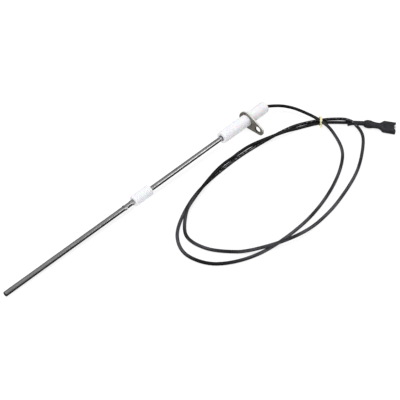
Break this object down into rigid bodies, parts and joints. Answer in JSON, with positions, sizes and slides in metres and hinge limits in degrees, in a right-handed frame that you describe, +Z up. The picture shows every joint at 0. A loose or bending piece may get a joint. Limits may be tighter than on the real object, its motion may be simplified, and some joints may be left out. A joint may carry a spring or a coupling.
{
  "type": "flame sensor probe",
  "caption": "Straight flame rod in a white ceramic insulator with a screw-on bracket, a sliding ceramic bead, and a looped black lead that ends in a booted push-on terminal.",
  "frame": {"origin": "on the surface the probe lies on, under the middle of the probe without its lead", "axes": "+X along the probe from the rod's tip towards the lead, +Z up"},
  "size_m": [0.2848, 0.1027, 0.013],
  "materials": {
    "rod_steel": "drawn, heat-resisting alloy",
    "white_ceramic": "satin glaze",
    "plated_steel": "dull zinc plating",
    "ferrule_brass": "plain",
    "cement": "matt",
    "copper": "bare copper",
    "lead_black": "semi-gloss",
    "tie_paper": "matt",
    "sleeve_black": "satin",
    "boot_black": "matt",
    "tinned_brass": "tin plated"
  },
  "bodies": {
    "probe": {"electrode_rod": "rod_steel", "main_insulator": "white_ceramic", "mounting_bracket": "plated_steel", "splice_ferrule": "ferrule_brass", "rod_cement": "cement", "rear_cement": "cement", "splice_strands": "copper", "lead_insulation": "lead_black", "wire_tie": "tie_paper", "heat_shrink_sleeve": "sleeve_black", "terminal_boot": "boot_black", "terminal_strands": "copper", "terminal_receptacle": "tinned_brass"},
    "bead": {"bead_insulator": "white_ceramic"}
  },
  "joints": [
    {"name": "bead_slide", "type": "slide", "parent": "probe", "child": "bead", "axis": [0.9997, 0, 0.0232], "range_m": [0, 0.068]}
  ]
}
